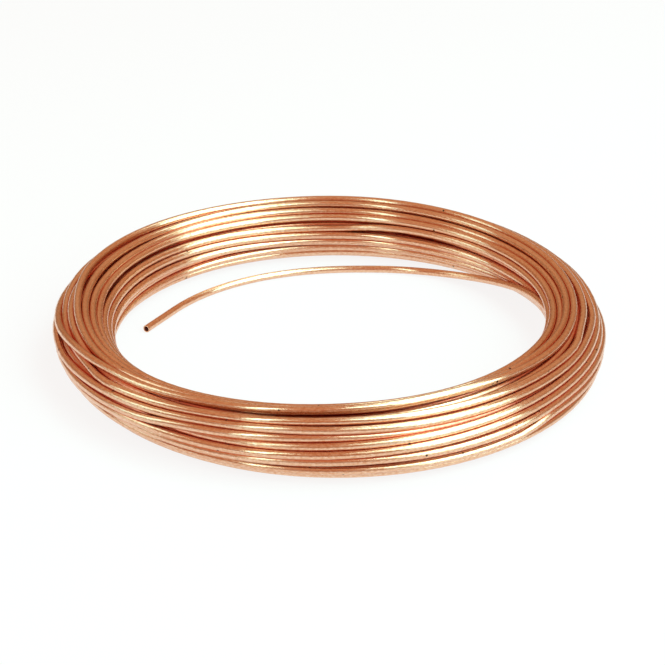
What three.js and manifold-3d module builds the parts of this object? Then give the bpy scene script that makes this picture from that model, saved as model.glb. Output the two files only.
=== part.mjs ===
// A coil of soft copper tube, lying on a level floor.
//
// The tube is wound round and round into one ring, about fifty turns thick. The wound ring is one turned
// solid: its section is the outline of the turns that lie on the outside of the bundle, each of them a round
// back, with a groove between it and the next. Two lengths of the tube come free of the ring as hollow,
// square-cut ends. The inner end peels off the inner flank, drops to the floor and follows the bore round.
// The outer end lies on the floor at the foot of the outer flank.
//
// Millimetres, +Z up. The origin is on the floor, on the axis of the ring. Angles run anticlockwise from +X,
// seen from above.

import * as THREE from "three";
import { mergeVertices } from "three/addons/utils/BufferGeometryUtils.js";
import Module from "manifold-3d";

// ---- Driving dimensions ----

const tubeDiameter = 6; // outside diameter of the tube
const tubeWall = 0.8; // wall thickness, seen at the two cut ends

const coilDiameter = 436; // over the outermost turns
const bundleWidth = 47; // from the bore to the outside of the ring
const bundleHeight = 54; // from the floor to the crown of the ring
const restingWidth = 11; // the flat run of turns, centre to centre, that the coil lies on
const flankHeight = 26; // height of the bundle's widest turns, centre above the floor

// The inner end of the tube, from inside the bundle to its last bend: the angle round the ring, how far the
// tube's centre lies inside the innermost turns (less than nothing is in the bundle), and how high the tube
// lies off the floor.
const innerEndRoute = [
  { angle: -30, inset: -6, rise: 27 },
  { angle: -8, inset: -2, rise: 27 },
  { angle: 12, inset: 1, rise: 25.5 },
  { angle: 28, inset: 3, rise: 18 },
  { angle: 44, inset: 3, rise: 8 },
  { angle: 58, inset: 6, rise: 2 },
  { angle: 72, inset: 13.5, rise: 0.2 },
  { angle: 86, inset: 20.5, rise: 0 },
  { angle: 102, inset: 24.3, rise: 0 },
  { angle: 124, inset: 26.5, rise: 0 },
  { angle: 150, inset: 27, rise: 0 },
];
const innerEndStraight = 42; // from the last bend straight on to the cut

// The outer end of the tube comes out low on the outer flank and lies on the floor at its foot.
const outerEndFrom = 122; // angle at which it is still inside the bundle
const outerEndTo = 62; // angle of the cut
const outerEndInset = 0.6; // how far its centre lies inside the outermost turns, so that it bears on the flank

const boreDepth = 60; // how far in from its cut each end is hollow; past that the tube is solid here

// ---- How finely the round forms are faceted ----

const ringFacets = 44; // round the coil
const turnFacets = 4; // on the exposed back of one turn
const restFacets = 5; // on a turn that lies on the floor: an odd number puts a flat facet on the floor
const endSides = 12; // round the section of a free end
const innerEndSteps = 40; // along the inner end
const outerEndSteps = 12; // along the outer end
const boreSteps = 8; // along the bore of each end

// ---- Sizes that follow from them ----

const tubeRadius = tubeDiameter / 2;
const boreRadius = tubeRadius - tubeWall;
const outermostTurn = coilDiameter / 2 - tubeRadius; // radius of a turn, to the tube's centre
const innermostTurn = coilDiameter / 2 - bundleWidth + tubeRadius;
const middleTurn = (outermostTurn + innermostTurn) / 2;
const layHalfWidth = (outermostTurn - innermostTurn) / 2;
const layHeight = bundleHeight - tubeDiameter;

const copper = new THREE.MeshStandardMaterial({ color: 0xc98a5e, roughness: 0.28, metalness: 1 });

const wasm = await Module();
wasm.setup();

// ---- The wound ring ----

// The closed line through the centres of the outside turns, in the ring's section: x is outwards from the
// middle of the bundle and y is up from the centre of the lowest turns. It runs flat along the floor, up the
// outer flank, over the crown and down the inner flank.
function layLine() {
  const quarter = 0.5523; // handle length of a Bezier quarter ellipse, as a share of its half axis
  const rest = restingWidth / 2;
  const widest = flankHeight - tubeRadius;
  const foot = layHalfWidth - rest;
  const crown = layHeight - widest;
  const line = new THREE.Path().moveTo(0, 0);
  line.lineTo(rest, 0);
  line.bezierCurveTo(rest + quarter * foot, 0, layHalfWidth, widest - quarter * widest, layHalfWidth, widest);
  line.bezierCurveTo(layHalfWidth, widest + quarter * crown, quarter * layHalfWidth, layHeight, 0, layHeight);
  line.bezierCurveTo(-quarter * layHalfWidth, layHeight, -layHalfWidth, widest + quarter * crown, -layHalfWidth, widest);
  line.bezierCurveTo(-layHalfWidth, widest - quarter * widest, -rest - quarter * foot, 0, -rest, 0);
  line.lineTo(0, 0);
  return line;
}

// Centres of the outside turns, side by side, as points of the ring's half section: x is the distance from
// the ring's axis and y is the height above the floor. An even number puts one on the very crown.
function outsideTurns() {
  const line = layLine();
  const count = 2 * Math.ceil(line.getLength() / tubeDiameter / 2);
  const points = line.getSpacedPoints(count).slice(0, count);
  return points.map((p) => new THREE.Vector2(middleTurn + p.x, tubeRadius + p.y));
}

// A point out from the middle of two neighbouring turns. The turns run anticlockwise round the section, so
// the outside is on the right of the way from one to the next.
function outFrom(turn, next, distance) {
  const outwards = new THREE.Vector2(next.y - turn.y, turn.x - next.x).normalize();
  return turn.clone().add(next).multiplyScalar(0.5).addScaledVector(outwards, distance);
}

// The bottom of the groove between two neighbouring turns, where their round backs meet.
function grooveBottom(turn, next) {
  const half = turn.distanceTo(next) / 2;
  return outFrom(turn, next, Math.sqrt(Math.max(0, tubeRadius ** 2 - half ** 2)));
}

// The ring's half section: for each turn, the arc of its back from one groove to the next. No corner of it
// reaches into the floor.
function ringProfile(turns) {
  const profile = [];
  turns.forEach((turn, i) => {
    const before = turns[(i + turns.length - 1) % turns.length];
    const after = turns[(i + 1) % turns.length];
    const from = grooveBottom(before, turn).sub(turn).angle();
    const to = grooveBottom(turn, after).sub(turn).angle();
    const sweep = THREE.MathUtils.euclideanModulo(to - from, 2 * Math.PI);
    const facets = turn.y < tubeRadius + 0.01 ? restFacets : turnFacets;
    // The corners of an odd number of facets stand off the round back, so that its middle facet touches it.
    const reach = facets % 2 ? tubeRadius / Math.cos(sweep / facets / 2) : tubeRadius;
    for (let k = 0; k < facets; k++) {
      const a = from + (sweep * k) / facets;
      const r = k === 0 ? tubeRadius : reach;
      profile.push(new THREE.Vector2(turn.x + r * Math.cos(a), Math.max(0, turn.y + r * Math.sin(a))));
    }
  });
  profile.push(profile[0].clone());
  return profile;
}

// A lathe geometry turns about +Y, so it is stood up to turn about +Z.
function ringGeometry(turns) {
  return new THREE.LatheGeometry(ringProfile(turns), ringFacets).rotateX(Math.PI / 2);
}

// ---- The two free ends ----

// A point at an angle round the ring, a distance from its axis and a height above the floor.
function ringPoint(angle, radius, height) {
  const a = THREE.MathUtils.degToRad(angle);
  return new THREE.Vector3(radius * Math.cos(a), radius * Math.sin(a), height);
}

// A smooth curve through the points that never runs into the floor.
class LaidCurve extends THREE.CatmullRomCurve3 {
  getPoint(t, target) {
    const point = super.getPoint(t, target);
    point.z = Math.max(point.z, tubeRadius);
    return point;
  }
}

// The centre line of the inner end: the listed route, then straight on to the cut.
function innerEndCurve() {
  const points = innerEndRoute.map((p) => ringPoint(p.angle, innermostTurn - p.inset, tubeRadius + p.rise));
  const bend = points.at(-1);
  const onwards = new THREE.Vector3(-bend.y, bend.x, 0).normalize();
  points.push(bend.clone().addScaledVector(onwards, innerEndStraight / 2));
  points.push(bend.clone().addScaledVector(onwards, innerEndStraight));
  return new LaidCurve(points, false, "centripetal");
}

// The centre line of the outer end: from inside the bundle out to the foot of the outer flank.
function outerEndCurve() {
  const inside = new THREE.Vector2(middleTurn + restingWidth / 2, 2 * tubeDiameter);
  const foot = new THREE.Vector2(outermostTurn - outerEndInset, tubeRadius);
  const shares = [0, 0.35, 0.8, 1, 1, 1, 1]; // of the way from the inside to the foot
  const points = shares.map((share, i) => {
    const p = inside.clone().lerp(foot, share);
    return ringPoint(outerEndFrom + ((outerEndTo - outerEndFrom) * i) / (shares.length - 1), p.x, p.y);
  });
  return new LaidCurve(points, false, "centripetal");
}

// A round bar along a curve, with square ends.
function barGeometry(curve, radius, steps) {
  const section = new THREE.Shape().absarc(0, 0, radius, 0, 2 * Math.PI);
  return new THREE.ExtrudeGeometry(section, { steps, extrudePath: curve, curveSegments: endSides / 2 });
}

// The last stretch of a curve, as far as the bore goes in, and on past the cut so that the bore is open.
function boreCurve(curve) {
  const length = curve.getLength();
  const points = [];
  for (let i = 0; i <= boreSteps; i++) {
    points.push(curve.getPointAt(1 - (boreDepth * (1 - i / boreSteps)) / length));
  }
  points.push(points.at(-1).clone().addScaledVector(curve.getTangentAt(1), tubeWall));
  return new THREE.CatmullRomCurve3(points, false, "centripetal");
}

// ---- Joining ----

// A closed geometry as a solid that can be joined.
function solidOf(geometry) {
  geometry.deleteAttribute("normal");
  geometry.deleteAttribute("uv");
  const merged = mergeVertices(geometry, 1e-4);
  const vertProperties = new Float32Array(merged.attributes.position.array);
  const triVerts = new Uint32Array(merged.index.array);
  return new wasm.Manifold(new wasm.Mesh({ numProp: 3, vertProperties, triVerts }));
}

// A solid as a geometry with flat facets.
function geometryOf(solid) {
  const mesh = solid.getMesh();
  const geometry = new THREE.BufferGeometry();
  geometry.setAttribute("position", new THREE.BufferAttribute(mesh.vertProperties, 3));
  geometry.setIndex(new THREE.BufferAttribute(mesh.triVerts, 1));
  const flat = geometry.toNonIndexed();
  flat.computeVertexNormals();
  return flat;
}

function copperTube() {
  let tube = solidOf(ringGeometry(outsideTurns()));
  const ends = [
    { curve: innerEndCurve(), steps: innerEndSteps },
    { curve: outerEndCurve(), steps: outerEndSteps },
  ];
  for (const { curve, steps } of ends) tube = tube.add(solidOf(barGeometry(curve, tubeRadius, steps)));
  for (const { curve } of ends) tube = tube.subtract(solidOf(barGeometry(boreCurve(curve), boreRadius, boreSteps)));
  const mesh = new THREE.Mesh(geometryOf(tube), copper);
  mesh.name = "copper_tube";
  return mesh;
}

const coil = new THREE.Group();
coil.add(copperTube());

export default coil;
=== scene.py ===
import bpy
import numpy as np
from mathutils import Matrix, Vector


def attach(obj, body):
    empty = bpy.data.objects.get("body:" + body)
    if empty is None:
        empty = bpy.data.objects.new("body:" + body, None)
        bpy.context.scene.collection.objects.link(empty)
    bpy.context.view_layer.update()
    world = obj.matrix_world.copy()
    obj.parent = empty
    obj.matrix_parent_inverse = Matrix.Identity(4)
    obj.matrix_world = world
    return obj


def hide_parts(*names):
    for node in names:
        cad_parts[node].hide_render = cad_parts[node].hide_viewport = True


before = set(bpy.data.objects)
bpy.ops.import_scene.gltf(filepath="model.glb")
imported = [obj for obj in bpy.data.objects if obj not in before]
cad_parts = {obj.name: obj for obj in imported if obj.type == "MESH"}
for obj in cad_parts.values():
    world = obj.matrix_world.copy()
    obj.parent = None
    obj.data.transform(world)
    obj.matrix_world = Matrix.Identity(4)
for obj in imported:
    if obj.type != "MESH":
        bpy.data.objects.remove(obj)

# Copper tube coil: one length of soft copper tube, wound into a bundled coil and lying on a pale floor.
#
# The winding is worked out in cross-sections. The coil is cut by evenly spaced half-planes through its
# upright middle line, and in each of them the tube shows as a bundle of round discs. A place in such a
# cut is (distance from the middle line, height), and a direction in it is 0 outwards, 90 degrees up and
# 180 inwards. An angle round the coil is 0 on the right, -90 at the front and 90 at the back. Lengths
# are in metres and angles in radians, unless a comment says otherwise.

bl_info = {
    "name": "Copper tube coil",
    "version": (1, 0, 0),
    "blender": (4, 5, 0),
    "location": "3D View > Sidebar > Copper coil",
    "description": "Winds a coil of soft copper tube and lays out a plain pale studio for it",
    "category": "Object",
}

# ---------------------------------------------------------------- numbers: the winding

STATIONS = 96                    # cuts round the coil, one every 3.75 degrees
TURN_STEP = 2 * np.pi / STATIONS
SEAM_ANGLE = np.radians(15)      # where each turn is counted from, the winding going clockwise from above

# Layers of the bundle from the bore outwards: how many turns lie in each, and the height between them
LAYERS = (3, 5, 6, 7, 8, 7, 6, 5, 3)
LAYER_PITCH = 1.08               # in tube diameters

# Outline of the bundle round the coil: mean, then the cosine and sine parts of one, two and three waves
OUTER_RADIUS = (0.2160, 0.0002, 0.0027, 0.0017, -0.0002, -0.0002, 0.0023)
BUNDLE_HEIGHT = (0.0515, 0.0012, 0.0011, -0.0020, -0.0008, -0.0010, 0.0013)
BUNDLE_WIDTH = (0.0479, 0.0004, -0.0008, 0.0012, -0.0006, -0.0008, 0.0015)
CROWN_INWARDS = 0.0006           # how far the crown of the bundle stands in from its middle, all round
CROWN_SIDE = np.radians(170)     # the way the whole crown leans over, by the length set as "Lean"
REACH_LIMIT = (0.2147, 0.0508)   # no tube centre lies further out along x or y, or higher, than this

# The crossings, where the turns roll past one another: the angles in degrees between which they do, and
# how far the skin of the bundle drifts round the cut, as (direction in the cut, drift), both in degrees
RIGHT_CROSSING = {"from": 14, "to": -36, "drift": (
    (-120, -10), (-60, -20), (-30, -40), (0, -50), (25, -30), (42, 0), (55, 22), (70, 28), (82, 15),
    (92, 0), (110, -20), (140, -45), (165, -50), (180, -35))}
LEFT_CROSSING = {"from": -125, "to": -200, "drift": (
    (-120, 0), (-60, -10), (-40, -15), (-25, 0), (-15, 25), (-5, 60), (20, 100), (35, 95), (45, 80),
    (60, 58), (75, 35), (90, 15), (105, 0), (120, -15), (150, -20), (180, -10))}
CHANGE_OVER = {"from": -40, "to": -130}   # angles in degrees between which a turn goes to its next place
DRIFT_WINDOW = 12                # degrees to each side over which the drift is averaged
ROLL_STEPS = 24                  # steps in which a bundle rolls through a crossing
FILLING = 0.97                   # how much of the outline the places fill before the turns are pressed
FIRST_PLACE = (-1.0, 0.1)        # where the first turn and the last turn lie, in the unit disc
LAST_PLACE = (0.75, -0.6)

# The order of the turns is chosen so that the two crossings fit together along the front. A misfit counts
# for more in turns that show: those far enough out in the disc that lie towards the top and the outside
SKIN_FROM = 0.7
SHOWING_WAY = (0.6, 0.8)
SHOWING_FROM = 0.2
SHOWING_COUNTS_MORE = 5
ORDER_TRIES = 60000              # swaps tried in the order of the turns
ORDER_HEAT = 0.3                 # how much worse a swap may make the fit at first
ORDER_LAST_HEAT = 1e-4           # and at last

# Grooves in the skin of the bundle, where one group of turns lies against another:
# (angle round the coil in degrees, direction in the cut in degrees, how far the tubes keep clear in mm)
GROOVES = (
    ((-345, 27, 4.0), (-335, 18, 0.0), (-187, -25, 0.0), (-180, -12, 4.0), (-173, 6, 4.5), (-167, 20, 4.5),
     (-160, 35, 4.5), (-150, 52, 4.5), (-135, 68, 4.6), (-120, 75, 4.8), (-90, 78, 4.8), (-60, 75, 4.6),
     (-45, 70, 4.6), (-30, 63, 4.8), (-15, 50, 4.8), (0, 42, 4.6), (8, 34, 4.5), (15, 27, 4.0)),
    ((-205, 25, 0.0), (-190, 40, 4.0), (-180, 52, 4.8), (-170, 64, 4.8), (-160, 74, 4.4), (-150, 82, 3.8),
     (-135, 90, 0.0)),
    ((-275, 100, 0.0), (-245, 98, 3.8), (-225, 98, 4.6), (-210, 97, 5.0), (-195, 97, 4.4), (-175, 100, 0.0)),
    ((-240, 78, 0.0), (-215, 76, 4.0), (-195, 76, 4.0), (-175, 82, 0.0)),
    ((-350, 112, 0.0), (-330, 119, 4.4), (-300, 122, 4.4), (-270, 114, 4.0), (-235, 112, 0.0)),
    ((-350, 165, 0.0), (-330, 170, 3.8), (-285, 168, 3.7), (-270, 160, 3.9), (-235, 160, 0.0)),
    ((-245, 150, 0.0), (-225, 147, 4.4), (-190, 147, 4.6), (-172, 150, 0.0)),
    ((-240, 124, 0.0), (-220, 123, 4.2), (-195, 121, 4.4), (-175, 120, 0.0)),
    ((-130, -28, 0.0), (-105, -28, 4.0), (-90, -28, 4.6), (-60, -25, 4.6), (-45, -24, 4.6), (-30, -32, 4.8),
     (-20, -38, 4.0), (-5, -40, 0.0)),
)
GROOVE_PUSH = 0.3                # share of the missing clearance that a groove makes up in one round

ELBOW_ROOM = 0.12                # most extra room that a turn takes up at first, as a share of its diameter
PRESSINGS = ((400, 3), (250, 2))   # rounds and stiffness, first with the elbow room
LAST_PRESSING = (100, 1)         # and then without it
CROWD_PUSH = 1.6                 # how many full pushes a turn takes in a round, however many press on it

# Free inner end: (angle in degrees, distance from the middle line, height of the tube's centre)
INNER_END_ROUTE = (
    (-35, 0.1753, 0.0315), (-15, 0.1753, 0.0315), (0, 0.1743, 0.0305), (10, 0.1726, 0.0290),
    (20, 0.1708, 0.0255), (30, 0.1705, 0.0195), (40, 0.1709, 0.0130), (50, 0.1701, 0.0076),
    (60, 0.1668, 0.0045), (70, 0.1618, 0.0033), (80, 0.1560, 0.0030), (90, 0.1525, 0.0030),
    (100, 0.1502, 0.0030), (110, 0.1488, 0.0030), (120, 0.1479, 0.0030), (130, 0.1473, 0.0030),
    (140, 0.1470, 0.0030), (150, 0.1470, 0.0030),
)
ROUTE_WINDOW = 5                 # degrees to each side over which the route is averaged
INNER_END_STRAIGHT = 0.042       # the last stretch before the inner cut, which isn't bent
STRAIGHT_RINGS = 8               # and the points on it
INNER_END_LOOSE = 12             # stations of the first turn that may stand outside the bundle's outline

# Outer end: it comes down behind the coil, lies on the floor against the foot of the bundle and is cut
OUTER_END_LOOSE = np.radians(80)   # stretch before it is down that may stand outside the outline
OUTER_END_DOWN = np.radians(95)
OUTER_END_CUT = np.radians(62)
OUTER_END_RADIUS = 0.2144

ROUNDING = 1e-6                  # angles nearer than this are the same

# ---------------------------------------------------------------- numbers: the tube's mesh and finish

BORE_RINGS = 12                  # rings down each bore
CHAMFER = 0.2                    # chamfer at the mouths, as a share of the wall
# Shelter: where other turns lie close, the copper's skin is painted with shade
SHELTER_REACH = 0.004            # how near another turn's centre has to be to shelter the skin
SHELTER_FROM = 0.3               # the sum of what is near that still counts as open
SHELTER_RANGE = 0.45             # and how much more counts as full shelter
SHARP_EDGE = np.radians(40)      # edges that turn more than this stay sharp
STRIP_MARGIN = (0.002, 0.04)     # room left in the flat map beside the strips and between them
FLOOR_ROUND = 0.4                # radius of a bore floor in the flat map, in heights of a strip

# Patterns on the copper: how fine each is round the tube, as on a circle of radius 1, and to the metre
# along it
STREAKS = (4.0, 6.0)
PATCHES = (0.8, 9.0)
GRAIN = (3.0, 400.0)
NICKS = (0.4, 130.0)
NICK_GROUPS = 0.35               # how fine the groups of nicks are, against the nicks
NICK_EDGE = (0.15, 0.09)         # distances from a nick's middle at which it begins and is full
NICK_GROUP_EDGE = (0.56, 0.59)   # values of the groups' noise at which nicks begin and are full
STREAK_VALUES = (0.3, 0.7)       # values of the streaks that get the least and the most roughness
STREAKS_IN_TONE = 0.45           # share of the streaks against the patches in the copper's tone
BRIGHT_BELOW = 0.42              # tones at which the copper is fully bright and fully tarnished
TARNISHED_ABOVE = 0.60

# ---------------------------------------------------------------- numbers: the studio

# Softboxes: name, direction from the coil, distance, width, depth, share of the full brightness
SOFTBOXES = (
    ("right_front_softbox", (0.65, -0.42, 0.61), 2.6, 2.4, 3.5, 0.8),
    ("right_top_softbox", (0.36, 0.18, 0.915), 1.8, 1.5, 0.7, 0.6),
    ("left_front_softbox", (-0.40, -0.654, 0.642), 2.4, 0.34, 2.0, 0.75),
    ("left_side_softbox", (-0.86, -0.08, 0.48), 1.7, 0.60, 1.1, 0.34),
)
LAMPS_AIM_AT = (0.0, 0.0, 0.02)
FLOOR_HALF_SIDE = 40.0
ROOM_LOW, ROOM_HIGH = 0.6, 1.4   # strength of the room's light at the floor and from ROOM_TOP upwards
ROOM_TOP = 0.5                   # as the sine of the height above the horizon
CAMERA_PLACE = (0.0036, -1.5034, 0.7579)
CAMERA_AIMS_AT = (0.0021, -0.0138, 0.025)
FOCAL_LENGTH = 115.1             # in mm
SENSOR_WIDTH = 36.0


# ---------------------------------------------------------------- winding

def smooth_ramp(t):
    """3 t^2 - 2 t^3, with t held between 0 and 1."""
    t = np.clip(t, 0.0, 1.0)
    return t * t * (3.0 - 2.0 * t)


def round_the_coil(waves, angle):
    """Mean plus, for k = 1, 2, 3, a_k cos(k angle) + b_k sin(k angle)."""
    value = np.full_like(angle, waves[0])
    for k in (1, 2, 3):
        value += waves[2 * k - 1] * np.cos(k * angle) + waves[2 * k] * np.sin(k * angle)
    return value


class Outline:
    """The leaning ellipse that each cut of the bundle fills, and the grooves in its skin.

    A place (u, v) in the unit disc stands for
    radius = middle radius + a u - shift v, height = middle height + b v, with
    shift = crown inwards - lean cos(angle - crown side), where a and b are the half-axes through the
    tube centres.
    """

    def __init__(self, angle, diameter, lean):
        height = round_the_coil(BUNDLE_HEIGHT, angle)
        width = round_the_coil(BUNDLE_WIDTH, angle)
        self.shift = CROWN_INWARDS - lean * np.cos(angle - CROWN_SIDE)
        self.half_width = np.sqrt((0.5 * (width - diameter)) ** 2 - self.shift ** 2)
        self.half_height = 0.5 * (height - diameter)
        self.middle_radius = round_the_coil(OUTER_RADIUS, angle) - 0.5 * width
        self.middle_height = 0.5 * height
        self.furthest = REACH_LIMIT[0] / np.maximum(np.abs(np.cos(angle)), np.abs(np.sin(angle)))
        self.rods, self.clearances = [], []
        for groove in GROOVES:
            at, direction, clearance = np.array(groove, float).T
            direction = np.radians(np.interp(np.degrees(angle), at, direction))
            self.rods.append(self.place(np.stack([np.cos(direction), np.sin(direction)], -1)))
            self.clearances.append(0.001 * np.interp(np.degrees(angle), at, clearance))

    def open_grooves(self, place):
        """Where tubes would move to keep clear of the grooves.

        A groove is an imaginary rod that lies in the skin. A tube nearer to it than the clearance
        moves straight away from it by the groove push times what is missing.
        """
        moved = np.zeros_like(place)
        for rod, clearance in zip(self.rods, self.clearances):
            away = place - rod
            distance = np.sqrt((away ** 2).sum(-1)) + 1e-9
            moved += away * (GROOVE_PUSH * np.clip(clearance - distance, 0.0, None) / distance)[..., None]
        return place + moved

    def place(self, disc):
        """Disc places to places in the cuts."""
        radius = self.middle_radius + self.half_width * disc[..., 0] - self.shift * disc[..., 1]
        return np.stack([radius, self.middle_height + self.half_height * disc[..., 1]], -1)

    def disc(self, place):
        """Places in the cuts to disc places."""
        v = (place[..., 1] - self.middle_height) / self.half_height
        u = (place[..., 0] - self.middle_radius + self.shift * v) / self.half_width
        return np.stack([u, v], -1)


def layer_places(diameter, half_height):
    """Places in the unit disc that the turns share out among themselves.

    Layer m of n stands at u = -1 + 2 m / (n - 1), and its places are the layer pitch times the tube's
    diameter apart, centred on the middle height.
    """
    places = []
    pitch = LAYER_PITCH * diameter / half_height
    for m, count in enumerate(LAYERS):
        heights = (np.arange(count) - 0.5 * (count - 1)) * pitch
        places += [(-1.0 + 2.0 * m / (len(LAYERS) - 1), v) for v in heights]
    return np.array(places)


def roll_bundle(disc, share, crossing):
    """Rolls the turns of a cut past one another without squeezing them.

    At distance p from the disc's middle and direction d in it, a place moves round the middle at
    (2 p^3 - p) V(d) and away from the middle at p (1 - p^2) V'(d) / 2, where V is the drift of the
    skin. It comes from the stream function p^2 (1 - p^2) V(d) / 2, so areas are kept and the disc's
    edge stays its edge: where the skin parts, turns come up from inside, and where it closes they
    go under. The share is how much of the crossing a place has gone through. Each step is taken with
    the speed half-way through it.
    """
    whole_degrees = np.arange(-180.0, 181.0)
    table = np.array(crossing["drift"], float)
    window = np.arange(-DRIFT_WINDOW, DRIFT_WINDOW + 1)
    drift = np.radians(np.interp(whole_degrees[:, None] + window, table[:, 0], table[:, 1],
                                 period=360).mean(1))
    growth = np.degrees(np.gradient(drift))
    step = share / ROLL_STEPS
    for _ in range(ROLL_STEPS):
        start = disc
        for part in (0.5, 1.0):
            distance = np.sqrt((disc ** 2).sum(-1)) + 1e-9
            direction = np.degrees(np.arctan2(disc[..., 1], disc[..., 0]))
            speed_round = (2 * distance ** 3 - distance) * np.interp(direction, whole_degrees, drift)
            speed_out = 0.5 * distance * (1 - distance ** 2) * np.interp(direction, whole_degrees, growth)
            out = disc / distance[..., None]
            along = np.stack([-out[..., 1], out[..., 0]], -1)
            speed = speed_out[..., None] * out + speed_round[..., None] * along
            disc = start + (part * step)[..., None] * speed
    return disc


def order_of_places(cost, first, last, rng):
    """The order in which the turns take the places, from the first place to the last.

    cost[i, j] says how far place j is from where the crossings carry a turn that lay in place i. Runs
    of the order are swapped at random, and a swap is kept if it makes the sum smaller, or, ever more
    seldom, if it makes it a little larger.
    """
    order = [first] + [i for i in range(len(cost)) if i not in (first, last)] + [last]
    steps = cost.tolist()
    chance = rng.random(ORDER_TRIES)
    cuts = np.sort(rng.integers(1, len(order), (ORDER_TRIES, 3)), axis=1)
    for n in range(ORDER_TRIES):
        i, j, k = cuts[n]
        if i == j or j == k:
            continue
        before = steps[order[i - 1]][order[i]] + steps[order[j - 1]][order[j]] + steps[order[k - 1]][order[k]]
        after = steps[order[i - 1]][order[j]] + steps[order[k - 1]][order[i]] + steps[order[j - 1]][order[k]]
        heat = ORDER_HEAT * (1 - n / ORDER_TRIES) ** 2 + ORDER_LAST_HEAT
        if after < before or chance[n] < np.exp((before - after) / heat):
            order = order[:i] + order[j:k] + order[i:j] + order[k:]
    return np.array(order)


def first_winding(outline, diameter, rng, spread):
    """The turns before they are pressed together, as places[turn, station, (radius, height)].

    Each place is rolled forward through the crossing on the right and, the other way, through the
    crossing on the left. Along the front the two agree as nearly as the order of the turns allows,
    above all for the turns that show, and a turn changes over from its last place to its next one
    there. The spread is how many degrees earlier or later the turns do so.
    """
    places = layer_places(diameter, np.mean(outline.half_height))
    whole = np.ones(len(places))
    carried = roll_bundle(FILLING * places, whole, RIGHT_CROSSING)
    wanted = roll_bundle(FILLING * places, whole, LEFT_CROSSING)
    shows = (np.hypot(*carried.T) > SKIN_FROM) & (carried @ SHOWING_WAY > SHOWING_FROM)
    cost = ((carried[:, None] - wanted[None]) ** 2).sum(-1) * (1 + SHOWING_COUNTS_MORE * shows[:, None])
    first = np.argmin(((places - FIRST_PLACE) ** 2).sum(1))
    last = np.argmin(((places - LAST_PLACE) ** 2).sum(1))
    order = order_of_places(cost, first, last, rng)

    before = places[np.concatenate([order[:1], order[:-1]])]
    after = places[order]
    at = np.degrees(SEAM_ANGLE - np.arange(STATIONS) * TURN_STEP)[None, :]
    late = rng.normal(0.0, spread, (3, len(order), 1))

    # How much of each stretch a turn has gone through at each station, from 0 to 1
    right, left, change = (
        smooth_ramp((stretch["from"] - at + shift) / (stretch["from"] - stretch["to"]))
        for stretch, shift in zip((RIGHT_CROSSING, LEFT_CROSSING, CHANGE_OVER), late))
    rolled_on = roll_bundle(np.repeat(FILLING * before[:, None], STATIONS, 1), right, RIGHT_CROSSING)
    rolled_back = roll_bundle(np.repeat(FILLING * after[:, None], STATIONS, 1), 1 - left, LEFT_CROSSING)
    change = change[..., None]
    return outline.place((1 - change) * rolled_on + change * rolled_back)


def press_together(place, outline, room, diameter, free, bound, present, rounds, stiffness):
    """Pushes turns that overlap away from each other, and keeps them a smooth tube.

    In every cut, two discs nearer than the mean of the room they take up are pushed apart along the
    line between them, each by half of what is missing, and less where many press on it. What is bound
    keeps clear of the grooves and, where it stands outside the outline, comes half-way back to it.
    Nothing goes under the floor or past the reach limit. Then every place is averaged with its
    neighbours along the tube, with weights 1/4, 1/2, 1/4, as often as stiffness says. Only what is
    present pushes, and only what is free moves. Where the averaging and the pushes work against each
    other, as near the crossings, some overlap is left.
    """
    keep = 0.5 * (room[:, None] + room[None, :])
    turns = len(place)
    pair = present[:, None] & present[None, :] & ~np.eye(turns, dtype=bool)[:, :, None]
    pair = pair.transpose(2, 0, 1)
    held = place.copy()
    for _ in range(rounds):
        cut = place.transpose(1, 0, 2)
        apart = cut[:, :, None] - cut[:, None]
        distance = np.sqrt((apart ** 2).sum(-1)) + 1e-9
        overlap = np.where(pair, np.clip(keep - distance, 0.0, None), 0.0)
        push = (apart * (0.5 * overlap / distance)[..., None]).sum(2)
        crowd = np.maximum((overlap > 0).sum(2), 1)[..., None]
        place = (cut + push * np.minimum(1.0, CROWD_PUSH / crowd)).transpose(1, 0, 2)

        place = np.where(bound[..., None], outline.open_grooves(place), place)
        disc = outline.disc(place)
        excess = np.sqrt((disc ** 2).sum(-1))[..., None]
        inside = outline.place(disc * (0.5 + 0.5 / np.maximum(excess, 1.0)))
        place = np.where((excess > 1) & bound[..., None], inside, place)
        place[..., 0] = np.minimum(place[..., 0], outline.furthest)
        place[..., 1] = np.clip(place[..., 1], 0.5 * diameter, REACH_LIMIT[1])
        place = np.where(free[..., None], place, held)

        tube = place.reshape(-1, 2)
        for _ in range(stiffness):
            tube = np.vstack([tube[:1], 0.5 * tube[1:-1] + 0.25 * (tube[:-2] + tube[2:]), tube[-1:]])
        place = np.where(free[..., None], tube.reshape(place.shape), held)
    return place


def inner_end_places(angle):
    """The free inner end's place at each angle.

    It lies on the straight lines between the points of its route, averaged over the route window so
    that the corners are rounded.
    """
    route = np.array(INNER_END_ROUTE)
    at = np.degrees(angle)[:, None] + np.linspace(-ROUTE_WINDOW, ROUTE_WINDOW, 11)
    return np.stack([np.interp(at, route[:, 0], route[:, i]).mean(1) for i in (1, 2)], -1)


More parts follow.
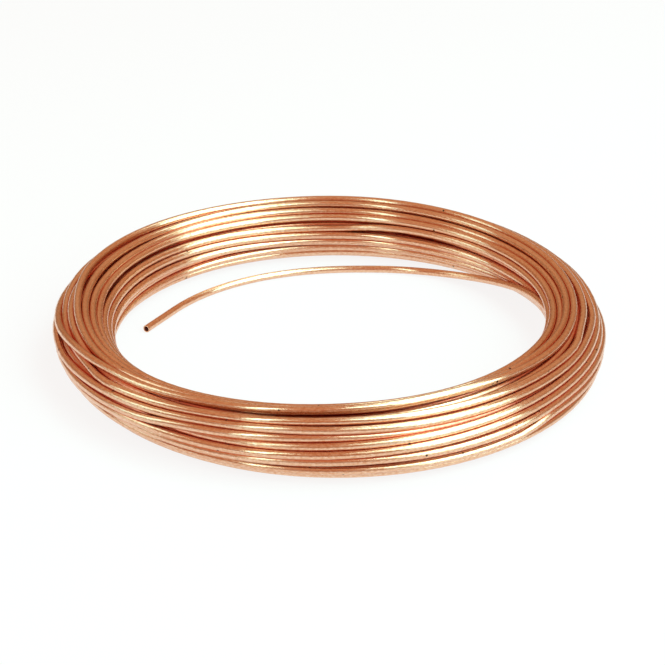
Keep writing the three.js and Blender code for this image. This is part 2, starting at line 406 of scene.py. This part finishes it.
def wind_coil(diameter, lean, spread, seed):
    """The tube's centre line from the inner cut to the outer cut, as points (x, y, z)."""
    rng = np.random.default_rng(seed)
    angle = SEAM_ANGLE - np.arange(STATIONS) * TURN_STEP
    outline = Outline(angle, diameter, lean)
    turns = first_winding(outline, diameter, rng, spread)

    # Row 0 is the free inner end, which comes from its cut to the seam
    whole_angle = angle + 2 * np.pi
    place = np.vstack([inner_end_places(whole_angle)[None], turns])
    present = np.ones(place.shape[:2], bool)
    present[0] = whole_angle <= np.radians(INNER_END_ROUTE[-1][0]) + ROUNDING
    free = present.copy()
    free[0] = False
    bound = np.ones(place.shape[:2], bool)

    # The first turn goes on along the route of the inner end, for as long as the window fits in it
    led = np.degrees(angle) > INNER_END_ROUTE[0][0] + ROUTE_WINDOW
    place[1, led] = inner_end_places(angle[led])
    free[1, led] = False
    bound[1, :INNER_END_LOOSE] = False

    # The last turn comes down to the floor behind the coil and is cut there
    lying = whole_angle < OUTER_END_DOWN + ROUNDING
    place[-1, lying] = (OUTER_END_RADIUS, 0.5 * diameter)
    free[-1, lying] = False
    present[-1] = whole_angle >= OUTER_END_CUT - ROUNDING
    bound[-1] = whole_angle >= OUTER_END_DOWN + OUTER_END_LOOSE

    room = diameter * (1 + ELBOW_ROOM * rng.random(len(place)))
    for rounds, stiffness in PRESSINGS:
        place = press_together(place, outline, room, diameter, free, bound, present, rounds, stiffness)
    room[:] = diameter
    place = press_together(place, outline, room, diameter, free, bound, present, *LAST_PRESSING)

    whole_turns = 2 * np.pi * (np.arange(len(place))[:, None] - 1)
    radius, height = place[..., 0], place[..., 1]
    around = angle[None, :] - whole_turns
    centre_line = np.stack([radius * np.cos(around), radius * np.sin(around), height], -1)[present]

    # The straight stretch runs on from the inner end, square to its radius
    end = centre_line[0]
    onward = np.array([-end[1], end[0], 0.0]) / np.hypot(end[0], end[1])
    reach = np.linspace(INNER_END_STRAIGHT, 0.0, STRAIGHT_RINGS, endpoint=False)[:, None]
    return np.vstack([end + reach * onward, centre_line])


# ---------------------------------------------------------------- the tube as a mesh

def tube_rings(length_at, wall, radius, bore_depth):
    """Rings from the floor of one blind bore, out of its mouth, along the tube and into the other bore.

    Each ring is (distance along the tube, radius). The mouths have a small chamfer inside and outside.
    """
    total = length_at[-1]
    bore, chamfer = radius - wall, CHAMFER * wall
    depths = np.linspace(bore_depth, chamfer, BORE_RINGS)
    mouth = [(depth, bore) for depth in depths]
    mouth += [(0.0, bore + chamfer), (0.0, radius - chamfer)]
    body = length_at[(length_at > 2 * chamfer) & (length_at < total - 2 * chamfer)]
    along = [at for at, _ in mouth] + [chamfer] + list(body) + [total - chamfer]
    across = [r for _, r in mouth] + [radius] * (len(body) + 2)
    along += [total - at for at, _ in reversed(mouth)]
    across += [r for _, r in reversed(mouth)]
    return np.array(along), np.array(across)


def shelter_of(points, centre_line):
    """How much other turns shelter the tube's skin: 0 in the open, 1 in the gaps between turns.

    points[k, side] are the skin points round centre_line[k]. In the cut they lie in, each gets the
    sum over all other turns of exp(-(distance to that turn's centre / shelter reach)^2), which is
    drawn out over 0 to 1. The straight stretch lies in no cut and counts as open.
    """
    angle = np.arctan2(centre_line[:, 1], centre_line[:, 0])
    turned = (SEAM_ANGLE - angle) / TURN_STEP
    on_a_cut = np.abs(turned - np.round(turned)) < 1e-3
    first = np.argmax(on_a_cut & np.roll(on_a_cut, -1) & np.roll(on_a_cut, -2))
    number = np.round(turned[first]).astype(int) % STATIONS + np.arange(len(centre_line) - first)
    turn, station = number // STATIONS, number % STATIONS

    # Where a turn has no tube in a cut, its centre and its skin stand metres away from all others
    centres = np.full((turn[-1] + 1, STATIONS, 2), 9.0)
    centres[turn, station] = np.stack([np.hypot(*centre_line[first:, :2].T), centre_line[first:, 2]], -1)
    skin = np.full((turn[-1] + 1, STATIONS, points.shape[1], 2), 5.0)
    skin[turn, station] = np.stack([np.hypot(points[first:, :, 0], points[first:, :, 1]),
                                    points[first:, :, 2]], -1)
    apart = skin[:, None] - centres[None, :, :, None]
    near = np.exp(-(apart ** 2).sum(-1) / SHELTER_REACH ** 2)
    own = np.arange(len(centres))
    near[own, own] = 0.0
    shelter = np.zeros(points.shape[:2])
    shelter[first:] = smooth_ramp((near.sum(1) - SHELTER_FROM) / SHELTER_RANGE)[turn, station]
    return shelter


def strip_map(rings, sides):
    """A flat map of the tube's faces, in the order of the faces and their corners.

    As many rings as a turn has stations are one strip, with the way along the tube across the map
    and the way round it up the map, and a margin left all round. The two bore floors are small
    rounds side by side at the top, a quarter of the way in from either edge.
    """
    strips = (rings - 1) // STATIONS + 2
    beside, between = STRIP_MARGIN
    ring, spoke = np.meshgrid(np.arange(rings - 1), np.arange(sides), indexing="ij")
    across = (ring % STATIONS)[..., None] + np.array([0, 0, 1, 1])
    up = spoke[..., None] + np.array([0, 1, 1, 0])
    height = (ring // STATIONS)[..., None] + between + (1 - 2 * between) * up / sides
    quads = np.stack([beside + (1 - 2 * beside) * across / STATIONS, height / strips], -1)
    turn = np.arange(sides + 1) * 2 * np.pi / sides
    rim = np.stack([np.cos(turn), np.sin(turn)], -1) * FLOOR_ROUND / strips
    fans = []
    for x, flip in ((0.25, 1), (0.75, 0)):
        middle = np.array([x, 1 - 0.5 / strips])
        fans.append(np.stack([np.tile(middle, (sides, 1)), middle + rim[flip:sides + flip],
                              middle + rim[1 - flip:sides + 1 - flip]], 1))
    return np.vstack([quads.reshape(-1, 2), np.reshape(fans, (-1, 2))])


def tube_mesh(name, centre_line, diameter, wall, bore_depth, sides):
    """Sweeps a circle along the centre line.

    With t the tangent, s = t x up made one long and n = s x t, the surface is
    centre(l) + radius(l) (cos(a) s + sin(a) n), for l along the tube and a round it.
    Both bores end in a flat floor, so the whole is one closed surface. The walls and floors of the
    bores take the second material.
    """
    steps = np.linalg.norm(np.diff(centre_line, axis=0), axis=1)
    length_at = np.concatenate([[0.0], np.cumsum(steps)])
    along, across = tube_rings(length_at, wall, 0.5 * diameter, bore_depth)

    tangent = np.gradient(centre_line, length_at, axis=0)
    tangent /= np.linalg.norm(tangent, axis=1, keepdims=True)
    centre = np.stack([np.interp(along, length_at, centre_line[:, i]) for i in range(3)], -1)
    forward = np.stack([np.interp(along, length_at, tangent[:, i]) for i in range(3)], -1)
    forward /= np.linalg.norm(forward, axis=1, keepdims=True)
    side = np.cross(forward, (0.0, 0.0, 1.0))
    side /= np.linalg.norm(side, axis=1, keepdims=True)
    normal = np.cross(side, forward)

    around = np.arange(sides) * 2 * np.pi / sides
    wheel = np.cos(around)[:, None] * side[:, None] + np.sin(around)[:, None] * normal[:, None]
    skin = (centre[:, None] + across[:, None, None] * wheel).reshape(-1, 3)
    points = np.vstack([skin, centre[:1], centre[-1:]])

    rings = len(along)
    ring, spoke = np.meshgrid(np.arange(rings - 1), np.arange(sides), indexing="ij")
    here, ahead = ring * sides, (ring + 1) * sides
    after = (spoke + 1) % sides
    quads = np.stack([here + spoke, here + after, ahead + after, ahead + spoke], -1).reshape(-1, 4)
    spoke, after = np.arange(sides), (np.arange(sides) + 1) % sides
    last = (rings - 1) * sides
    first_floor = np.stack([np.full(sides, len(skin)), after, spoke], -1)
    last_floor = np.stack([np.full(sides, len(skin) + 1), last + spoke, last + after], -1)

    mesh = bpy.data.meshes.new(name)
    mesh.from_pydata(points.tolist(), [], quads.tolist() + first_floor.tolist() + last_floor.tolist())
    flat_map = mesh.uv_layers.new(name="OFBake")
    flat_map.data.foreach_set("uv", strip_map(rings, sides).ravel())

    # Where each point is on the tube: cosine and sine of the way round it, and the length along it
    place = np.empty((len(points), 3))
    place[:-2, 0] = np.tile(np.cos(around), rings)
    place[:-2, 1] = np.tile(np.sin(around), rings)
    place[:-2, 2] = np.repeat(along, sides)
    place[-2:] = ((0.0, 0.0, along[0]), (0.0, 0.0, along[-1]))
    mesh.attributes.new("tube_place", "FLOAT_VECTOR", "POINT").data.foreach_set("vector", place.ravel())

    in_bore = across < 0.5 * diameter - (1 - 0.5 * CHAMFER) * wall
    material_index = np.repeat((in_bore[:-1] & in_bore[1:]).astype(int), sides)
    mesh.polygons.foreach_set("material_index", np.append(material_index, np.ones(2 * sides, int)))

    # How sheltered each point is, for the painted shade in the gaps. Each cut has the ring at its own length
    shelter = np.zeros((rings, sides))
    ring_of = np.clip(np.searchsorted(along, length_at[1:-1], side="left"), 0, rings - 1)
    shelter[ring_of] = shelter_of(skin.reshape(rings, sides, 3)[ring_of], centre[ring_of])
    shelter = np.append(shelter.ravel(), (0.0, 0.0))
    mesh.attributes.new("shelter", "FLOAT", "POINT").data.foreach_set("value", shelter)
    mesh.shade_smooth()
    mesh.set_sharp_from_angle(angle=SHARP_EDGE)
    return mesh


# ---------------------------------------------------------------- materials

def add(nodes, kind, **settings):
    """A new node of that kind, with its properties set."""
    node = nodes.new(kind)
    for name, value in settings.items():
        setattr(node, name, value)
    return node


def feed(links, source, socket):
    """Links a node's output to the socket, or sets the socket to a plain number or colour."""
    if isinstance(source, bpy.types.NodeSocket):
        links.new(source, socket)
    else:
        socket.default_value = source


def mix(nodes, links, factor, a, b, kind="FLOAT"):
    """The output of a node that gives (1 - factor) a + factor b."""
    node = add(nodes, "ShaderNodeMix", data_type=kind)
    for name, source in (("Factor", factor), ("A", a), ("B", b)):
        feed(links, source, node.inputs[name])
    return node.outputs["Result"]


def calculate(nodes, links, operation, a, b):
    """The output of a node that does the operation on a and b."""
    node = add(nodes, "ShaderNodeMath", operation=operation)
    feed(links, a, node.inputs[0])
    feed(links, b, node.inputs[1])
    return node.outputs[0]


def spread_out(nodes, links, value, lowest, highest, to_lowest=0.0, to_highest=1.0):
    """The output of a node that draws lowest to highest out over to_lowest to to_highest."""
    node = add(nodes, "ShaderNodeMapRange")
    for name, number in (("From Min", lowest), ("From Max", highest), ("To Min", to_lowest),
                         ("To Max", to_highest)):
        node.inputs[name].default_value = number
    links.new(value, node.inputs["Value"])
    return node.outputs["Result"]


def stretched_place(nodes, links, place, pattern):
    """The place on the tube, scaled so that a pattern of size 1 becomes as fine as the pattern says."""
    node = add(nodes, "ShaderNodeMapping")
    node.inputs["Scale"].default_value = (pattern[0], pattern[0], pattern[1])
    links.new(place, node.inputs["Vector"])
    return node.outputs["Vector"]


def noise(nodes, links, place, scale=1.0, detail=2.0):
    """The output of a noise node, from 0 to 1."""
    node = add(nodes, "ShaderNodeTexNoise")
    node.inputs["Scale"].default_value = scale
    node.inputs["Detail"].default_value = detail
    links.new(place, node.inputs["Vector"])
    return node.outputs["Fac"]


def copper_material(look):
    """Bright drawn copper with light tarnish and a few nicks.

    Its tone mixes three noises on the place on the tube: broad patches, streaks along the tube and a
    fine grain. Low tones are bright copper and high tones are lightly tarnished. The streaks also
    change the roughness. In the gaps between the turns the colour is mixed towards painted shade,
    and nicks are small dark spots round scattered points, kept only where a broad noise is high.

    Drawing leaves fine scratches along the tube, so its gloss is wider across the tube than along it.
    The way along the tube is the way across the flat map.
    """
    material = bpy.data.materials.new("drawn_copper")
    material.use_nodes = True
    nodes, links = material.node_tree.nodes, material.node_tree.links
    shader = nodes["Principled BSDF"]
    shader.inputs["Metallic"].default_value = 1.0
    shader.inputs["Anisotropic"].default_value = look.brushing
    shader.inputs["Anisotropic Rotation"].default_value = 0.25  # a quarter turn: gloss spreads across
    along = add(nodes, "ShaderNodeTangent", direction_type="UV_MAP", uv_map="OFBake")
    links.new(along.outputs["Tangent"], shader.inputs["Tangent"])

    place = add(nodes, "ShaderNodeAttribute", attribute_name="tube_place").outputs["Vector"]
    streaks = noise(nodes, links, stretched_place(nodes, links, place, STREAKS), detail=3.0)
    patches = noise(nodes, links, stretched_place(nodes, links, place, PATCHES), detail=4.0)
    grain = noise(nodes, links, stretched_place(nodes, links, place, GRAIN))
    roughness = spread_out(nodes, links, streaks, *STREAK_VALUES, look.roughness - look.roughness_spread,
                           look.roughness + look.roughness_spread)
    links.new(roughness, shader.inputs["Roughness"])

    tone = mix(nodes, links, look.grain, mix(nodes, links, STREAKS_IN_TONE, patches, streaks), grain)
    ramp = add(nodes, "ShaderNodeValToRGB")
    bright, tarnished = ramp.color_ramp.elements
    bright.position, bright.color = BRIGHT_BELOW, look.bright_copper[:]
    tarnished.position, tarnished.color = TARNISHED_ABOVE, look.tarnish[:]
    links.new(tone, ramp.inputs["Fac"])

    # Painted shade: where other turns shelter the skin, in the gaps between them, the colour is mixed towards
    # a dark red
    shelter = add(nodes, "ShaderNodeAttribute", attribute_name="shelter").outputs["Fac"]
    gap_shade_share = calculate(nodes, links, "MULTIPLY", shelter, look.gap_shade_share)
    colour = mix(nodes, links, gap_shade_share, ramp.outputs["Color"], look.gap_shade[:], "RGBA")

    nick_place = stretched_place(nodes, links, place, NICKS)
    points = add(nodes, "ShaderNodeTexVoronoi")
    points.inputs["Scale"].default_value = 1.0
    links.new(nick_place, points.inputs["Vector"])
    spots = spread_out(nodes, links, points.outputs["Distance"], *NICK_EDGE)
    groups = spread_out(nodes, links, noise(nodes, links, nick_place, NICK_GROUPS), *NICK_GROUP_EDGE)
    nicks = calculate(nodes, links, "MULTIPLY", spots, groups)
    colour = mix(nodes, links, nicks, colour, look.nick_colour[:], "RGBA")
    links.new(colour, shader.inputs["Base Color"])
    return material


def bore_material(colour):
    """The dull tarnish inside the tube's two ends."""
    material = bpy.data.materials.new("tarnished_bore")
    material.use_nodes = True
    shader = material.node_tree.nodes["Principled BSDF"]
    shader.inputs["Base Color"].default_value = colour[:]
    shader.inputs["Roughness"].default_value = 0.6
    return material


def pale_floor_material(colour, whiteness):
    """Matte floor that shows white to the camera and in reflections, and keeps the object's shadow.

    For camera, glossy and transmission rays the lit floor is mixed with plain white light.
    """
    material = bpy.data.materials.new("pale_floor")
    material.use_nodes = True
    nodes, links = material.node_tree.nodes, material.node_tree.links
    matte = nodes["Principled BSDF"]
    matte.inputs["Base Color"].default_value = colour[:]
    matte.inputs["Roughness"].default_value = 0.9
    matte.inputs["Specular IOR Level"].default_value = 0.0
    white = add(nodes, "ShaderNodeEmission")
    white.inputs["Strength"].default_value = 1.0
    path = add(nodes, "ShaderNodeLightPath").outputs
    seen = calculate(nodes, links, "MAXIMUM", path["Is Camera Ray"], path["Is Glossy Ray"])
    seen = calculate(nodes, links, "MAXIMUM", seen, path["Is Transmission Ray"])
    mixed = add(nodes, "ShaderNodeMixShader")
    links.new(calculate(nodes, links, "MULTIPLY", seen, whiteness), mixed.inputs[0])
    links.new(matte.outputs[0], mixed.inputs[1])
    links.new(white.outputs[0], mixed.inputs[2])
    links.new(mixed.outputs[0], nodes["Material Output"].inputs["Surface"])
    return material


# ---------------------------------------------------------------- stage

def square_mesh(name, half_side):
    """One level square at height 0, from -half_side to half_side both ways."""
    mesh = bpy.data.meshes.new(name)
    corners = [(x * half_side, y * half_side, 0.0) for x, y in ((-1, -1), (1, -1), (1, 1), (-1, 1))]
    mesh.from_pydata(corners, [], [(0, 1, 2, 3)])
    return mesh


def aim(thing, target):
    """Turns a lamp or camera so that it looks at the target, upright."""
    direction = target - thing.location
    thing.rotation_euler = direction.to_track_quat("-Z", "Y").to_euler()


def softbox(name, direction, distance, width, depth, brightness, colour):
    """A rectangular area lamp that faces the coil's middle from that direction.

    Its power is pi times its area times its brightness, so the brightness is what a mirror shows.
    """
    lamp = bpy.data.lights.new(name, "AREA")
    lamp.shape = "RECTANGLE"
    lamp.size, lamp.size_y = width, depth
    lamp.energy = np.pi * width * depth * brightness
    lamp.color = colour
    box = bpy.data.objects.new(name, lamp)
    box.location = Vector(direction).normalized() * distance
    bpy.context.scene.collection.objects.link(box)
    aim(box, Vector(LAMPS_AIM_AT))


def room_light(look):
    """The soft light of the room: near walls to far walls from front to back, stronger higher up."""
    world = bpy.data.worlds.new("pale_room")
    world.use_nodes = True
    nodes, links = world.node_tree.nodes, world.node_tree.links
    direction = add(nodes, "ShaderNodeTexCoord")
    parts = add(nodes, "ShaderNodeSeparateXYZ")
    links.new(direction.outputs["Generated"], parts.inputs[0])
    farness = spread_out(nodes, links, parts.outputs["Y"], -1.0, 1.0)
    walls = mix(nodes, links, farness, look.near_walls[:], look.far_walls[:], "RGBA")
    strength = spread_out(nodes, links, parts.outputs["Z"], 0.0, ROOM_TOP, ROOM_LOW, ROOM_HIGH)
    links.new(walls, nodes["Background"].inputs["Color"])
    links.new(strength, nodes["Background"].inputs["Strength"])
    return world


def set_camera(scene):
    """The camera that the coil is shown with, at its place and with its focal length."""
    lens = bpy.data.cameras.new("camera")
    lens.sensor_width = SENSOR_WIDTH
    lens.lens = FOCAL_LENGTH
    camera = bpy.data.objects.new("camera", lens)
    camera.location = CAMERA_PLACE
    aim(camera, Vector(CAMERA_AIMS_AT))
    scene.collection.objects.link(camera)
    scene.camera = camera


# ---------------------------------------------------------------- settings

class CoilSizes(bpy.types.PropertyGroup):
    """Sizes of the tube and the way it is wound"""
    tube_diameter: bpy.props.FloatProperty(
        name="Tube diameter", description="Outside diameter of the tube", default=0.006,
        min=0.004, max=0.008, unit="LENGTH")
    tube_wall: bpy.props.FloatProperty(
        name="Wall", description="Thickness of the tube's wall", default=0.0008,
        min=0.0004, max=0.0015, unit="LENGTH")
    bore_depth: bpy.props.FloatProperty(
        name="Bore depth", description="How far the bore goes in from each cut end", default=0.1,
        min=0.01, max=0.5, unit="LENGTH")
    lean: bpy.props.FloatProperty(
        name="Lean", description="How far the bundle's crown stands to the left of its middle",
        default=0.007, min=0.0, max=0.01, unit="LENGTH")
    spread: bpy.props.FloatProperty(
        name="Spread", description="How unevenly the turns start to cross over, in degrees",
        default=7.0, min=0.0, max=20.0)
    sides: bpy.props.IntProperty(
        name="Sides", description="Faces round the tube", default=18, min=8, max=20)
    seed: bpy.props.IntProperty(
        name="Seed", description="Picks one of the possible windings", default=7, min=0)


class CopperLook(bpy.types.PropertyGroup):
    """Colours and gloss of the copper"""
    bright_copper: bpy.props.FloatVectorProperty(
        name="Bright copper", description="Colour of the clean metal", subtype="COLOR", size=4,
        min=0.0, max=1.0, default=(0.89, 0.61, 0.43, 1.0))
    tarnish: bpy.props.FloatVectorProperty(
        name="Tarnish", description="Colour of the duller patches", subtype="COLOR", size=4,
        min=0.0, max=1.0, default=(0.76, 0.38, 0.21, 1.0))
    # Painted shade deep between the turns: its dark red colour, and how strongly the sheltered gaps are
    # painted with it
    gap_shade: bpy.props.FloatVectorProperty(
        name="Gap tarnish", description="Colour deep between the turns", subtype="COLOR", size=4,
        min=0.0, max=1.0, default=(0.75, 0.10, 0.06, 1.0))
    gap_shade_share: bpy.props.FloatProperty(
        name="Gap share", description="How far the gaps between the turns have tarnished",
        default=0.6, min=0.0, max=1.0, subtype="FACTOR")
    nick_colour: bpy.props.FloatVectorProperty(
        name="Nicks", description="Colour of the small nicks", subtype="COLOR", size=4,
        min=0.0, max=1.0, default=(0.08, 0.03, 0.02, 1.0))
    bore_colour: bpy.props.FloatVectorProperty(
        name="Bores", description="Colour inside the tube's two ends", subtype="COLOR", size=4,
        min=0.0, max=1.0, default=(0.28, 0.065, 0.04, 1.0))
    grain: bpy.props.FloatProperty(
        name="Grain", description="How much the fine grain changes the copper's tone", default=0.55,
        min=0.0, max=1.0, subtype="FACTOR")
    roughness: bpy.props.FloatProperty(
        name="Roughness", description="Mean roughness of the metal", default=0.23,
        min=0.0, max=1.0, subtype="FACTOR")
    brushing: bpy.props.FloatProperty(
        name="Brushing", description="How far the fine scratches along the tube spread its gloss across",
        default=0.85, min=0.0, max=1.0, subtype="FACTOR")
    roughness_spread: bpy.props.FloatProperty(
        name="Roughness spread", description="How much the streaks change the roughness",
        default=0.1, min=0.0, max=0.3, subtype="FACTOR")


class StudioLook(bpy.types.PropertyGroup):
    """Floor, softboxes and light of the room"""
    floor_colour: bpy.props.FloatVectorProperty(
        name="Floor", description="Colour of the floor", subtype="COLOR", size=4,
        min=0.0, max=1.0, default=(0.86, 0.8, 0.8, 1.0))
    whiteness: bpy.props.FloatProperty(
        name="Whiteness", description="How much plain white the seen floor has", default=0.85,
        min=0.0, max=1.0, subtype="FACTOR")
    lamp_brightness: bpy.props.FloatProperty(
        name="Softboxes", description="Brightness of the softboxes as a mirror shows them",
        default=5.3, min=0.0, max=10.0)
    lamp_colour: bpy.props.FloatVectorProperty(
        name="Softbox colour", description="Colour of the softboxes' light", subtype="COLOR", size=3,
        min=0.0, max=1.0, default=(0.48, 0.98, 1.0))
    near_walls: bpy.props.FloatVectorProperty(
        name="Near walls", description="Light of the room on the camera's side", size=4,
        subtype="COLOR", min=0.0, max=1.0, default=(0.46, 0.223, 0.134, 1.0))
    far_walls: bpy.props.FloatVectorProperty(
        name="Far walls", description="Light of the room behind the coil", size=4,
        subtype="COLOR", min=0.0, max=1.0, default=(0.45, 0.262, 0.150, 1.0))


# ---------------------------------------------------------------- operators

class COPPERCOIL_OT_wind_tube(bpy.types.Operator):
    """Wind the copper tube into its coil and lay it over the CAD coil"""
    bl_idname = "copper_coil.wind_tube"
    bl_label = "Wind copper tube"

    def execute(self, context):
        sizes = context.scene.copper_coil_sizes
        line = wind_coil(sizes.tube_diameter, sizes.lean, sizes.spread, sizes.seed)
        mesh = tube_mesh("wound_copper_tube", line, sizes.tube_diameter, sizes.tube_wall,
                         sizes.bore_depth, sizes.sides)
        look = context.scene.copper_coil_look
        mesh.materials.append(copper_material(look))
        mesh.materials.append(bore_material(look.bore_colour))
        tube = bpy.data.objects.new("wound_copper_tube", mesh)
        context.scene.collection.objects.link(tube)
        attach(tube, "root")
        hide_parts("copper_tube")
        return {"FINISHED"}


class COPPERCOIL_OT_lay_out_studio(bpy.types.Operator):
    """Lay the pale floor and set the lamps, the room light and the camera"""
    bl_idname = "copper_coil.lay_out_studio"
    bl_label = "Lay out studio"

    def execute(self, context):
        scene = context.scene
        look = scene.copper_coil_studio
        floor = bpy.data.objects.new("pale_floor", square_mesh("pale_floor", FLOOR_HALF_SIDE))
        floor.data.materials.append(pale_floor_material(look.floor_colour, look.whiteness))
        scene.collection.objects.link(floor)
        for name, direction, distance, width, depth, share in SOFTBOXES:
            softbox(name, direction, distance, width, depth, share * look.lamp_brightness, look.lamp_colour)
        scene.world = room_light(look)
        set_camera(scene)
        scene.view_settings.view_transform = "Standard"
        return {"FINISHED"}


class COPPERCOIL_PT_panel(bpy.types.Panel):
    """Settings and steps of the copper coil"""
    bl_idname = "COPPERCOIL_PT_panel"
    bl_label = "Copper coil"
    bl_space_type = "VIEW_3D"
    bl_region_type = "UI"
    bl_category = "Copper coil"

    def draw(self, context):
        layout = self.layout
        for title, group in (("Coil", context.scene.copper_coil_sizes),
                             ("Copper", context.scene.copper_coil_look),
                             ("Studio", context.scene.copper_coil_studio)):
            layout.label(text=title)
            for name in group.__annotations__:
                layout.prop(group, name)
        layout.operator(COPPERCOIL_OT_wind_tube.bl_idname)
        layout.operator(COPPERCOIL_OT_lay_out_studio.bl_idname)


CLASSES = (CoilSizes, CopperLook, StudioLook, COPPERCOIL_OT_wind_tube, COPPERCOIL_OT_lay_out_studio,
           COPPERCOIL_PT_panel)


def register():
    """Registers the classes and gives each scene its settings."""
    for item in CLASSES:
        bpy.utils.register_class(item)
    bpy.types.Scene.copper_coil_sizes = bpy.props.PointerProperty(type=CoilSizes)
    bpy.types.Scene.copper_coil_look = bpy.props.PointerProperty(type=CopperLook)
    bpy.types.Scene.copper_coil_studio = bpy.props.PointerProperty(type=StudioLook)


def unregister():
    """Takes the settings and the classes away again."""
    del bpy.types.Scene.copper_coil_studio
    del bpy.types.Scene.copper_coil_look
    del bpy.types.Scene.copper_coil_sizes
    for item in reversed(CLASSES):
        bpy.utils.unregister_class(item)


def main():
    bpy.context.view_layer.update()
    register()
    bpy.ops.copper_coil.wind_tube()
    bpy.ops.copper_coil.lay_out_studio()


if __name__ == "__main__":
    main()
